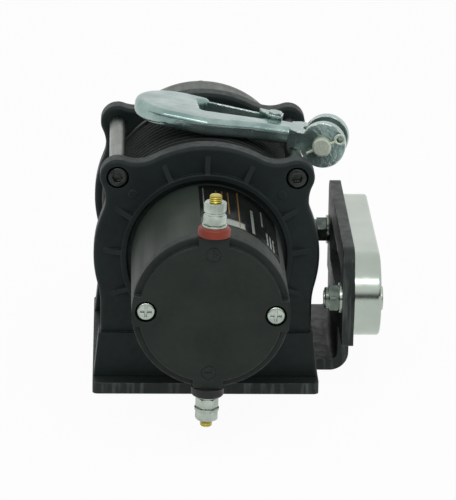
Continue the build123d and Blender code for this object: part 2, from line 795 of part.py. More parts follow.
def through_bolt(side):
    """A long pan-head screw from the end cap to the bracket, with a cross recess."""
    x = side * through_bolt_offset
    seat_y = cap_front_y + head_m5_recess_depth
    head = rod_y(head_m5_radius, seat_y - head_m5_height, seat_y, x)
    head = fillet(head.edges().sort_by(Axis.Y)[0], head_m5_height * 0.45)
    arm, wide, deep = head_m5_radius * 0.6, head_m5_radius * 0.13, head_m5_height * 0.5
    y0, y1 = seat_y - head_m5_height, seat_y - head_m5_height + deep
    head -= block(x - arm, x + arm, y0, y1, axis_z - wide, axis_z + wide)
    head -= block(x - wide, x + wide, y0, y1, axis_z - arm, axis_z + arm)
    return clocked(head + rod_y(screw_m5_radius, seat_y, -bracket_outer_y + through_bolt_engagement, x))


def brush_plate():
    """Insulating ring that holds the brushes, inside the front of the can."""
    y0 = commutator_back_y - commutator_length / 2 + brush_width / 2 + nest_gap
    y1 = y0 + brush_plate_thickness
    plate = tube_y(can_inner_radius - nest_gap, brush_plate_bore, y0, y1)
    holes = both_sides(lambda side: rod_y(screw_m5_radius + free_gap, y0, y1, side * through_bolt_offset))
    return clocked(less(plate, holes))


def brush(side):
    """A carbon brush that bears on the commutator, above or below it."""
    half = brush_width / 2
    start = commutator_radius + rest_gap
    carbon = block(-half, half, brush_middle_y - half, brush_middle_y + half,
                   axis_z + start, axis_z + start + brush_length)
    return clocked(turned(carbon, 90 - 90 * side))


def brush_spring(side):
    """The spring behind a brush, closed up as a short sleeve."""
    start = axis_z + commutator_radius + rest_gap + brush_length
    sleeve = rod_z(brush_spring_radius, start, start + brush_spring_length, 0, brush_middle_y)
    sleeve -= rod_z(brush_spring_radius / 2, start, start + brush_spring_length, 0, brush_middle_y)
    return clocked(turned(sleeve, 90 - 90 * side))


def armature_shaft():
    """The motor's shaft, with a hexagonal end for the coupling."""
    front = cap_front_y + cap_front_wall + rest_gap
    back = -bracket_outer_y
    shaft = rod_y(shaft_radius, front, back)
    return shaft + slab_y(Pos(0, axis_z) * hexagon(1.6 * shaft_radius), back, back + coupling_length / 2)


def armature_core():
    """Slotted iron stack on the shaft."""
    core = tube_y(core_radius, shaft_radius + nest_gap, core_front_y, core_back_y)
    slot = block(core_radius - slot_depth, core_radius + overcut, core_front_y, core_back_y,
                 axis_z - slot_width / 2, axis_z + slot_width / 2)
    return less(core, around_axis(slot, slot_count))


def armature_windings():
    """Copper bars in the slots, joined by the end turns."""
    front, back = core_front_y - winding_overhang, core_back_y + winding_overhang
    copper = tube_y(winding_outer_radius, winding_inner_radius, front, core_front_y)
    copper += tube_y(winding_outer_radius, winding_inner_radius, core_back_y, back)
    half = slot_width / 2 - nest_gap
    bar = block(core_radius - slot_depth + nest_gap, winding_outer_radius, front, back,
                axis_z - half, axis_z + half)
    return plus(copper, around_axis(bar, slot_count))


def commutator():
    """Copper commutator on the shaft."""
    return tube_y(commutator_radius, shaft_radius + nest_gap, commutator_front_y, commutator_back_y)


# Terminals
def upright_terminal(pieces, side):
    """Terminal pieces drawn upwards from the motor's axis, put at the cap's top (+1) or bottom (-1)."""
    place = Pos(0, cap_front_y + stud_setback, axis_z) * Rot(0, 90 - 90 * side, 0)
    return [clocked(place * piece) for piece in pieces]


def terminal_levels():
    """Heights from the motor's axis of the insulator, both washers and both nuts."""
    insulator = can_radius
    washer_1 = insulator + insulator_height
    nut_1 = washer_1 + terminal_washer_height
    washer_2 = nut_1 + nut_m6_height
    nut_2 = washer_2 + terminal_washer_height
    return insulator, washer_1, nut_1, washer_2, nut_2


def terminal_stud():
    """Brass stud moulded into the cap's wall."""
    stud = rod_z(stud_radius, stud_root, stud_tip)
    return chamfer(stud.edges().sort_by(Axis.Z)[-1], stud_radius * 0.2)


def terminal_ring(radius, low, height):
    """A washer or an insulating collar on the stud."""
    return rod_z(radius, low, low + height) - rod_z(stud_radius + nest_gap, low, low + height)


def insulator():
    """Round-shouldered insulating collar."""
    collar = rod_z(insulator_radius, can_radius, can_radius + insulator_height)
    collar = fillet(collar.edges().sort_by(Axis.Z)[-1], insulator_height * 0.35)
    return collar - rod_z(stud_radius + nest_gap, can_radius, can_radius + insulator_height)


def hex_nut(flats, height, bore):
    """A nut along Z, with its corners turned off at both faces."""
    nut = extrude(hexagon(flats), amount=height)
    round_off = Cylinder(flats * 0.577, height, align=(Align.CENTER, Align.CENTER, Align.MIN))
    round_off = chamfer(round_off.edges().filter_by(GeomType.CIRCLE), flats * 0.05)
    return (nut & round_off) - rod_z(bore, 0, height)


def terminals():
    """Studs, insulators, nuts and washers; the wide washer lies under the first nut at the cap's top
    and under the second at its bottom."""
    _, washer_1, nut_1, washer_2, nut_2 = terminal_levels()
    nut = hex_nut(nut_m6_flats, nut_m6_height, stud_radius + nest_gap)
    nuts = [Pos(0, 0, level) * Rot(0, 0, 12 * k) * nut for k, level in enumerate((nut_1, nut_2))]
    washers = []
    for side, radii in ((1, (terminal_washer_radius, nut_m6_flats / 2)),
                        (-1, (nut_m6_flats / 2, terminal_washer_radius))):
        rings = [terminal_ring(radius, level, terminal_washer_height)
                 for radius, level in zip(radii, (washer_1, washer_2))]
        washers += upright_terminal(rings, side)
    for name, side in (("positive", 1), ("negative", -1)):
        save(upright_terminal([terminal_stud()], side), f"{name}_stud")
        save(upright_terminal([insulator()], side), f"{name}_insulator")
    save(upright_terminal(nuts, 1) + upright_terminal(nuts, -1), "terminal_nuts")
    save(washers, "terminal_washers")


# Gears
def involute_angle(radius, base):
    """How far an involute has turned away from its start on the base circle."""
    pressure = acos(min(1.0, base / radius))
    return tan(pressure) - pressure


def gear_outline(teeth, addendum, dedendum, thickening):
    """A gear with one tooth centred on +X, round the origin."""
    pitch_radius = gear_module * teeth / 2
    base = pitch_radius * cos(radians(pressure_angle))
    tip = pitch_radius + addendum * gear_module
    root = pitch_radius - dedendum * gear_module
    half_tooth = pi / (2 * teeth) + thickening / (2 * pitch_radius)

    def flank(radius, middle, side):
        half = half_tooth + involute_angle(pitch_radius, base) - involute_angle(max(radius, base), base)
        angle = middle + side * half
        return radius * cos(angle), radius * sin(angle)

    edges = []
    for k in range(teeth):
        middle = 2 * pi * k / teeth
        following = 2 * pi * (k + 1) / teeth
        rise = [flank(r, middle, -1) for r in (root, pitch_radius, tip)]
        fall = [flank(r, middle, 1) for r in (tip, pitch_radius, root)]
        edges += [ThreePointArc(*rise), Line(rise[-1], fall[0]), ThreePointArc(*fall),
                  Line(fall[-1], flank(root, following, -1))]
    return make_face(edges)


def gear_y(outline, y0, y1, x=0.0):
    """A gear outline made solid along Y, at a distance from the drum's axis."""
    return slab_y(Pos(x, axis_z) * outline, y0, y1)


def stage_places():
    """Y of each stage's planets and carriers, from the output carrier by the bracket to the end cover."""
    places = {}
    y = bracket_outer_y + stage_gap
    for stage in (2, 1, 0):
        places["carrier", stage] = (y, y + carrier_thicknesses[stage])
        y += carrier_thicknesses[stage] + stage_gap
        places["planet", stage] = (y, y + planet_widths[stage])
        y += planet_widths[stage] + stage_gap
    places["end"] = y
    return places


def sun_outline():
    """Outline of the sun gears."""
    return gear_outline(sun_teeth, tooth_addendum, tooth_dedendum, -tooth_slack)


def planet(stage):
    """One planet of a stage, beside the axis on +X."""
    outline = gear_outline(planet_teeth, tooth_addendum, tooth_dedendum, -tooth_slack)
    y0, y1 = stage_y["planet", stage]
    gear = gear_y(outline, y0, y1, planet_orbit)
    return gear - rod_y(planet_pin_radius + running_gap, y0, y1, planet_orbit)


def carrier(stage):
    """A carrier plate with its planet pins and, on the drum's side, the next sun or the output hub."""
    y0, y1 = stage_y["carrier", stage]
    plate = rod_y(carrier_radius, y0, y1)
    pin = rod_y(planet_pin_radius, y1, stage_y["planet", stage][1], planet_orbit)
    plate = plus(plate, around_axis(pin, planet_count))
    if stage < 2:
        plate += gear_y(sun_outline(), stage_y["planet", stage + 1][0], y0)
        return plate - rod_y(drive_shaft_radius + free_gap, stage_y["carrier", stage + 1][0], y1)
    hub_end = drum_inner_y - coupling_length / 2
    plate += rod_y(drum_bore_radius - nest_gap, hub_end, y0)
    return plate - rod_y(drive_shaft_radius + free_gap, hub_end, y1)


def first_sun_gear():
    """The sun gear on the end of the drive shaft."""
    y0, y1 = stage_y["planet", 0]
    return gear_y(sun_outline(), y0, y1) - rod_y(drive_shaft_radius + nest_gap, y0, y1)


def ring_gear():
    """The gearbox's round housing, toothed inside."""
    spaces = gear_outline(ring_teeth, tooth_dedendum, tooth_addendum, tooth_slack)
    ring = gear_y(Circle(ring_outer_radius) - spaces, bracket_outer_y, stage_y["end"])
    x = ring_screw_radius()
    near, far = bracket_outer_y, stage_y["end"]
    near_hole = rod_y(screw_m4_radius + nest_gap, near, near + ring_screw_engagement + tap_room, x)
    far_hole = rod_y(screw_m4_radius + nest_gap, far - cover_screw_engagement - tap_room, far, x)
    ring = less(ring, around_axis(near_hole, ring_screw_count, start=30.0))
    return less(ring, around_axis(far_hole, cover_screw_count, start=30.0))


def drive_shaft():
    """The long shaft from the coupling, through the drum, to the first sun gear."""
    start = -bracket_outer_y + coupling_length / 2 + rest_gap
    return rod_y(drive_shaft_radius, start, stage_y["planet", 0][1])


def shaft_coupling():
    """A sleeve that joins the motor's hexagonal shaft end and the drive shaft."""
    start = -bracket_outer_y + rest_gap
    middle = -bracket_outer_y + coupling_length / 2 + rest_gap
    sleeve = rod_y(coupling_radius, start, start + coupling_length)
    sleeve -= slab_y(Pos(0, axis_z) * hexagon(1.6 * shaft_radius + 2 * nest_gap), start, middle)
    return sleeve - rod_y(drive_shaft_radius + nest_gap, middle, start + coupling_length)


def ring_gear_screws():
    """Screws from the drum's side through the bracket into the ring gear."""
    x = ring_screw_radius()
    seat = bracket_inner_y + head_m4_height
    screw = rod_y(head_m4_radius, bracket_inner_y, seat, x)
    screw += rod_y(screw_m4_radius, seat, bracket_outer_y + ring_screw_engagement, x)
    return around_axis(screw, ring_screw_count, start=30.0)


def cover_gasket():
    """Flat gasket between the ring gear and the end cover."""
    y0 = stage_y["end"]
    y1 = y0 + gasket_thickness
    ring = tube_y(ring_outer_radius, ring_radius + tooth_dedendum * gear_module, y0, y1)
    hole = rod_y(screw_m4_radius + free_gap, y0, y1, ring_screw_radius())
    return less(ring, around_axis(hole, cover_screw_count, start=30.0))


def end_cover():
    """Round cover on the end of the gearbox, with a bore for the clutch knob's stem."""
    y0 = stage_y["end"] + gasket_thickness
    y1 = y0 + cover_thickness
    cover = rod_y(ring_outer_radius, y0, y1)
    cover = fillet(cover.edges().sort_by(Axis.Y)[-1], cover_edge_fillet)
    cover -= rod_y(knob_stem_radius + running_gap, y0, y1)
    hole = rod_y(screw_m4_radius + free_gap, y0, y1, ring_screw_radius())
    return less(cover, around_axis(hole, cover_screw_count, start=30.0))


def cover_screws():
    """Button-head screws round the end cover."""
    seat = stage_y["end"] + gasket_thickness + cover_thickness
    x = ring_screw_radius()
    head = rod_y(head_m4_radius, seat, seat + head_m4_height, x)
    head = fillet(head.edges().sort_by(Axis.Y)[-1], head_m4_height * 0.6)
    head -= slab_y(Pos(x, axis_z) * hexagon(head_m4_radius * 0.7), seat + head_m4_height / 2,
                   seat + head_m4_height)
    screw = head + rod_y(screw_m4_radius, stage_y["end"] - cover_screw_engagement, seat, x)
    return around_axis(screw, cover_screw_count, start=30.0)


def clutch_knob():
    """Free-spool knob on the end cover: a disc with a raised grip bar, and a stem through the cover."""
    face = stage_y["end"] + gasket_thickness + cover_thickness + rest_gap
    skirt = face + knob_height * 0.4
    top = face + knob_height
    knob = rod_y(knob_radius, face, skirt)
    knob = fillet(knob.edges().sort_by(Axis.Y)[-1], knob_fillet)
    half = knob_grip_width / 2
    grip = block(-knob_radius, knob_radius, skirt - knob_fillet, top, axis_z - half, axis_z + half)
    grip = grip & rod_y(knob_radius - knob_fillet, skirt - knob_fillet, top)
    knob += fillet(grip.edges().group_by(Axis.Y)[-1], knob_fillet)
    return knob + rod_y(knob_stem_radius, stage_y["end"] + gasket_thickness, face)


# Fairlead
def fairlead():
    """A stadium-shaped aluminium block with a long slot whose lips are rounded for the rope."""
    x0, x1 = flange_face_x, flange_face_x + fairlead_thickness
    body = slab_x(Pos(0, fairlead_z) * SlotOverall(fairlead_length, fairlead_height), x0, x1)
    body = fillet(body.edges().group_by(Axis.X)[-1], fairlead_edge_fillet)
    body -= slab_x(Pos(0, fairlead_z) * SlotOverall(rope_slot_length, rope_slot_height), x0, x1)
    lips = body.edges().filter_by(
        lambda edge: edge.bounding_box().size.X < flat_limit
        and abs(edge.center().Y) < rope_slot_length / 2
        and abs(edge.center().Z - fairlead_z) < rope_slot_height / 2 + flat_limit)
    body = fillet(lips, slot_lip_radius)
    for side in (-1, 1):
        y = side * fairlead_bolt_spacing / 2
        body -= rod_x(screw_m8_radius + free_gap, x0, x1, y, fairlead_z)
        body -= rod_x(counterbore_m8_radius, x1 + head_m8_proud - head_m8_height, x1, y, fairlead_z)
    return body


def fairlead_screw(side):
    """A socket-head screw through the fairlead and the flange."""
    head_x = flange_face_x + fairlead_thickness + head_m8_proud
    nut_end_x = flange_face_x - plate_thickness - washer_m8_height - nut_m8_height - nut_m8_collar_height
    end_x = nut_end_x - fairlead_screw_tail
    length = head_x - head_m8_height - end_x
    screw = socket_screw(head_m8_radius, head_m8_height, screw_m8_radius, length, head_m8_radius)
    return Pos(head_x, side * fairlead_bolt_spacing / 2, fairlead_z) * Rot(0, 0, 90) * screw


def fairlead_nut(side):
    """The lock nut behind the flange, a hexagon with a round collar."""
    x = flange_face_x - plate_thickness - washer_m8_height
    top = nut_m8_height + nut_m8_collar_height
    collar = rod_z(nut_m8_collar_radius, nut_m8_height, top)
    collar = fillet(collar.edges().sort_by(Axis.Z)[-1], nut_m8_collar_height * 0.4)
    collar -= rod_z(screw_m8_radius + nest_gap, nut_m8_height, top)
    nut = hex_nut(nut_m8_flats, nut_m8_height, screw_m8_radius + nest_gap) + collar
    place = Pos(x, side * fairlead_bolt_spacing / 2, fairlead_z) * Rot(0, -90, 0)
    return place * Rot(0, 0, nut_m8_turn) * nut


def fairlead_washer(side):
    """The washer under the nut."""
    x1 = flange_face_x - plate_thickness
    y = side * fairlead_bolt_spacing / 2
    washer = rod_x(washer_m8_radius, x1 - washer_m8_height, x1, y, fairlead_z)
    return washer - rod_x(screw_m8_radius + free_gap, x1 - washer_m8_height, x1, y, fairlead_z)


# Hook
def hook_outline():
    """The hook's flat shape: bowl, tip, spine and shank."""
    bowl = Pos(bowl_x, 0) * Circle(bowl_radius)
    bowl = bowl & Pos(bowl_x - bowl_radius, 0) * Rectangle(2 * bowl_radius, 3 * bowl_radius)
    body = make_face(Polyline((bowl_x, -bowl_radius), (heel_x, -bowl_radius), (spine_x, spine_outer_y),
                              (shank_x, -shank_half_width), (yoke_x, -shank_half_width),
                              (yoke_x, shank_half_width), (latch_pivot_x, shank_half_width),
                              (spine_x, spine_inner_y), (throat_x, throat_y), (bowl_seat_x, bowl_seat_y),
                              (tip_end_x, tip_end_inner_y), (tip_end_x, tip_end_outer_y),
                              (bowl_x, bowl_radius), close=True))
    return fillet((bowl + body).vertices(), hook_corner)


def latch_lug():
    """The boss beside the throat that carries the latch."""
    top = latch_pivot_y + latch_lug_radius
    foot = latch_lug_radius + latch_lug_flare
    head = latch_lug_radius - latch_lug_taper
    outline = make_face(Polyline((latch_pivot_x - foot, 0), (latch_pivot_x + foot, 0),
                                 (latch_pivot_x + head, top), (latch_pivot_x - head, top), close=True))
    outline = fillet(outline.vertices().group_by(Axis.Y)[-1], head / 2)
    return extrude(outline, amount=hook_thickness / 2 - latch_lug_inset, both=True)


def clevis():
    """The two ears of the hook's clevis and the yoke that joins them to the shank."""
    half = clevis_half_width
    arm = Pos(shank_x / 2, 0) * Rectangle(-shank_x, hook_thickness)
    yoke = slab_y(Circle(ear_radius) + arm, -half, half)
    shoulder_x = yoke_x - yoke_shoulder
    taper = make_face(Polyline((ear_radius, -half), (ear_radius, half), (shoulder_x, half),
                               (shank_x, shank_half_width), (shank_x, -shank_half_width),
                               (shoulder_x, -half), close=True))
    yoke = yoke & extrude(taper, amount=ear_radius, both=True)
    gap_centre_x = yoke_x + clevis_gap / 2
    gap = Pos(gap_centre_x, 0) * Circle(clevis_gap / 2)
    gap += Pos((gap_centre_x + ear_radius) / 2, 0) * Rectangle(ear_radius - gap_centre_x, clevis_gap)
    yoke -= extrude(gap, amount=ear_radius, both=True)
    return yoke - rod_y(clevis_pin_radius + nest_gap, -half, half, 0, 0)


def hook():
    """Forged clevis hook."""
    flat = extrude(hook_outline(), amount=hook_thickness / 2, both=True)
    rims = flat.edges().group_by(Axis.Z)
    flat = fillet(rims[0] + rims[-1], hook_edge_fillet)
    flat += latch_lug() + clevis()
    return hook_plane * (flat - rod_z(rivet_radius + nest_gap, -hook_thickness, hook_thickness,
                                      latch_pivot_x, latch_pivot_y))


def across_tail(shape):
    """A shape drawn along X, put across the clevis pin's tail."""
    return Pos(0, -clevis_half_width - clevis_pin_tail / 2, 0) * Rot(0, -cotter_lean, 0) * shape


def clevis_pin():
    """Headed pin through the clevis ears, with a hole for the cotter in its tail."""
    half = clevis_half_width
    pin = rod_y(clevis_pin_radius, -half - clevis_pin_tail, half, 0, 0)
    pin = chamfer(pin.edges().sort_by(Axis.Y)[0], clevis_pin_radius * 0.16)
    head = rod_y(clevis_head_radius, half, half + clevis_head_height, 0, 0)
    head = fillet(head.edges().sort_by(Axis.Y)[-1], clevis_head_height * 0.25)
    hole = rod_x(cotter_radius + nest_gap, -clevis_pin_radius, clevis_pin_radius)
    return hook_plane * (pin + head - across_tail(hole))


def cotter_pin():
    """Cotter through the clevis pin's tail, with a round eye at one end."""
    leg = rod_x(cotter_radius, -cotter_leg, cotter_eye_reach - cotter_eye_radius)
    eye = Pos(cotter_eye_reach, 0, 0) * Rot(90, 0, 0) * Torus(cotter_eye_radius, cotter_radius)
    return hook_plane * across_tail(leg + eye)


def latch_inside(x):
    """Where the inner face of the latch's sheet lies, at a place along the hook."""
    lean = (latch_root_y - latch_end_y) / (latch_root_x - latch_end_x)
    return latch_end_y + lean * (x - latch_end_x)


def latch_sheet_outline(x0, x1):
    """The latch's sheet between two places along the hook, seen on its edge."""
    y0, y1 = latch_inside(x0), latch_inside(x1)
    return make_face(Polyline((x0, y0), (x1, y1), (x1, y1 + latch_sheet), (x0, y0 + latch_sheet),
                              close=True))


def hook_latch():
    """Sheet latch: a narrow web across the throat, and two cheeks that straddle the hook at the pivot."""
    half = hook_thickness / 2 + latch_side_gap + latch_sheet
    web = extrude(latch_sheet_outline(latch_end_x, latch_root_x),
                  amount=hook_thickness / 2 - latch_web_inset, both=True)
    web += extrude(latch_sheet_outline(latch_cheek_x, latch_root_x), amount=half, both=True)
    cheek_low = latch_pivot_y - rivet_head_radius
    cheek = make_face(Polyline((latch_cheek_x, latch_inside(latch_cheek_x)), (latch_root_x, latch_root_y),
                               (latch_root_x, cheek_low), (latch_pivot_x - rivet_head_radius, cheek_low),
                               close=True))
    cheeks = extrude(cheek, amount=half, both=True) - extrude(cheek, amount=half - latch_sheet, both=True)
    hole = rod_z(rivet_radius + running_gap, -half, half, latch_pivot_x, latch_pivot_y)
    return hook_plane * (web + cheeks - hole)


def latch_rivet():
    """The latch's pivot."""
    half = hook_thickness / 2 + latch_side_gap + latch_sheet + rest_gap
    rivet = rod_z(rivet_radius, -half, half, latch_pivot_x, latch_pivot_y)
    for side in (-1, 1):
        outer = side * (half + rivet_head_height)
        rivet += rod_z(rivet_head_radius, min(side * half, outer), max(side * half, outer),
                       latch_pivot_x, latch_pivot_y)
    return hook_plane * rivet


# Write every piece
os.makedirs("parts", exist_ok=True)
stage_y = stage_places()
route, dives = rope_route()

save(mount_plate(), "mount_plate")
save(foot_screws(), "foot_screws")
save(motor_bracket(), "motor_bracket")
save(gear_bracket(), "gear_bracket")
save(tie_rods(), "tie_rods")
save(tie_rod_screws(), "tie_rod_screws")
save(drum(), "drum")
save(drum_bushes(), "drum_bushes")
save(rope_core(dives), "rope_core")
save(rope_winding(route), "rope_winding")
save(motor_can(), "motor_can")
save(motor_end_plate(), "motor_end_plate")
save(motor_bearing(), "motor_bearing")
save(motor_magnets(), "motor_magnets")
save(motor_end_cap(), "motor_end_cap")
save(cap_bush(), "cap_bush")
save(both_sides(through_bolt), "through_bolts")
save(brush_plate(), "brush_plate")
save(both_sides(brush), "brushes")
save(both_sides(brush_spring), "brush_springs")
save(armature_shaft(), "armature_shaft")
save(armature_core(), "armature_core")
save(armature_windings(), "armature_windings")
save(commutator(), "commutator")
terminals()
save(shaft_coupling(), "shaft_coupling")
save(drive_shaft(), "drive_shaft")
save(first_sun_gear(), "first_sun_gear")
save(carrier(0), "first_carrier")
save(carrier(1), "second_carrier")
save(carrier(2), "output_carrier")
for stage, stage_name in enumerate(("first", "second", "third")):
    for k, gear in enumerate(around_axis(planet(stage), planet_count)):
        save(gear, f"{stage_name}_planet_{k + 1}")
save(ring_gear(), "ring_gear")
save(ring_gear_screws(), "ring_gear_screws")
save(cover_gasket(), "cover_gasket")
save(end_cover(), "end_cover")
save(cover_screws(), "cover_screws")
save(clutch_knob(), "clutch_knob")
save(fairlead(), "fairlead")
save(both_sides(fairlead_screw), "fairlead_screws")
save(both_sides(fairlead_nut), "fairlead_nuts")
save(both_sides(fairlead_washer), "fairlead_washers")
save(hook(), "hook")
save(clevis_pin(), "clevis_pin")
save(cotter_pin(), "cotter_pin")
save(hook_latch(), "hook_latch")
save(latch_rivet(), "latch_rivet")
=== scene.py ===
import json
from math import cos, pi, radians, sin

import bpy
from mathutils import Matrix, Vector


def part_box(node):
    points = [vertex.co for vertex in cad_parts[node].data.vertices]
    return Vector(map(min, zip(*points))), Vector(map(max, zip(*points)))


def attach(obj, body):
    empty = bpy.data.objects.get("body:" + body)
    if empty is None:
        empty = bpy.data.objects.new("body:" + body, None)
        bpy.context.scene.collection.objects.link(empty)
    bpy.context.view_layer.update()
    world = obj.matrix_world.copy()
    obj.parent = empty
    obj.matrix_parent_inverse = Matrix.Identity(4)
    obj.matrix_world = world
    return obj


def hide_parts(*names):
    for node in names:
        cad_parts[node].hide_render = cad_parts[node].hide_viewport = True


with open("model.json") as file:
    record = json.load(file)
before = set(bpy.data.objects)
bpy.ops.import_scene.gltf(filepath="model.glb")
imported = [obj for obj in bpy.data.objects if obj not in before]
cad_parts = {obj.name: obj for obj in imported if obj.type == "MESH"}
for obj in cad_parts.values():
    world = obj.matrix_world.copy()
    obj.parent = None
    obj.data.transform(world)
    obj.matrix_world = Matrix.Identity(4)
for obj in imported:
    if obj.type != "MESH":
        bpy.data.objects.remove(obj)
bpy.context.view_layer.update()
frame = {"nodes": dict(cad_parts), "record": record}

# The look of an electric winch: finishes for every solid, the rope on the drum and the plate on the motor.
# Metres, in the frame of the solids: +X is the way the rope pulls, +Y runs from the motor to the gearbox.
MM = 0.001

# Camera
camera_eye = (-47.37 * MM, -1867.81 * MM, 633.88 * MM)
camera_elevation = 17.176     # degrees, looking down
camera_yaw = -1.853           # degrees
camera_roll = -0.803          # degrees
camera_sensor = 36.0          # millimetres along the picture's height
camera_lens = 261.46          # millimetres

# Light
world_level = 0.42            # what matt surfaces get from the surroundings
room_level = 0.1              # the dark room in front of the winch, against the white around it
room_top = (0.16, 0.32)       # where the dark room fades out upwards, as the sine of the elevation
room_side = (-0.5, 0.1)       # where it fades out towards the sides, as the Y of a direction
floor_half = 4.0
floor_drop = 0.2 * MM         # below the mounting plate
floor_colour = (0.9, 0.9, 0.9, 1)
floor_rough = 0.9
floor_white = 0.95            # how much of the floor's picture is plain white
lamp_aim = (0, -20 * MM, 70 * MM)
lamps = (                     # name, place, width, height, power, and whether metal mirrors it
    ("front", (-0.2, -1.45, 1.6), 1.8, 0.4, 9.0, True),
    ("top", (0.1, 0.0, 1.9), 1.4, 1.4, 4.0, False),
    ("side", (1.6, -0.9, 0.9), 0.9, 0.9, 5.0, False),
)

# Rope on the drum
rope_ring = 20                # points round the rope
rope_turn_points = 24         # control points in a turn
rope_steps = 12               # points between two control points
rope_start = radians(200.0)
rope_gap = 0.55 * MM          # least room between two turns
rope_rest = 0.3 * MM          # between the outer layer and the layers below
rope_dive = (0.0, 0.35, 1.1)  # how deep the ends go into the layers below, in rope diameters
braid_depth = 0.22 * MM
braid_length = 4.6 * MM
braid_strands = 6             # strands each way
under_rib = 1.2 * MM          # height of the turns that show below the outer layer
under_around = 96             # points round the layers below
under_along = 168             # steps along them
barrel_radius = 22.3 * MM

# Fibre of the rope
fibre_colours = ((22, 27, 26), (35, 41, 39))
fibre_blotch = 140.0          # patches of colour to the metre
fibre_fuzz = 2600.0           # hairs to the metre
fibre_rough = (0.6, 0.85)
fibre_sheen = 0.08
fibre_gloss = 0.25
fibre_depth = 0.08 * MM
fibre_edge = 0.2 * MM
strand_yarns = 3              # yarns side by side in a strand

# Wear of edges, which on the hook is also a painted highlight along its rims, scratches and threads
bevel_samples = 6
rub_and_highlight_width = 1.6              # of a rubbed edge and its painted highlight, against the rounding it shows
rub_and_highlight_turn = (0.86, 0.99)      # cosines of the turn from a full edge to none
rub_and_highlight_blotch = 260.0           # rubbed patches, on the hook also patches of painted highlight, to the metre
rub_and_highlight_start = (0.42, 0.6)      # noise from no rubbing to full rubbing, and on the hook from no painted highlight to a full one
wear_polish = 0.12            # how much smoother a rubbed edge is
scuff_facing = (0.7, 0.95)    # how squarely a face looks along Y, from no scratches to all
scuff_lines = 330.0           # scratches to the metre
scuff_stretch = (1, 1, 0.12)
scuff_detail = 6.0
scuff_start = (0.5, 0.72)     # noise from no scratch to a full one
thread_depth = 0.35           # of a thread, against its pitch
wave_unit = pi / 10           # one wave of the wave texture at a scale of 1
grain_detail = 3.0
rough_size = 6                # patches of roughness against the grain

# Sockets of a node that mixes colours
mix_factor, mix_first, mix_second, mix_result = 0, 6, 7, 2
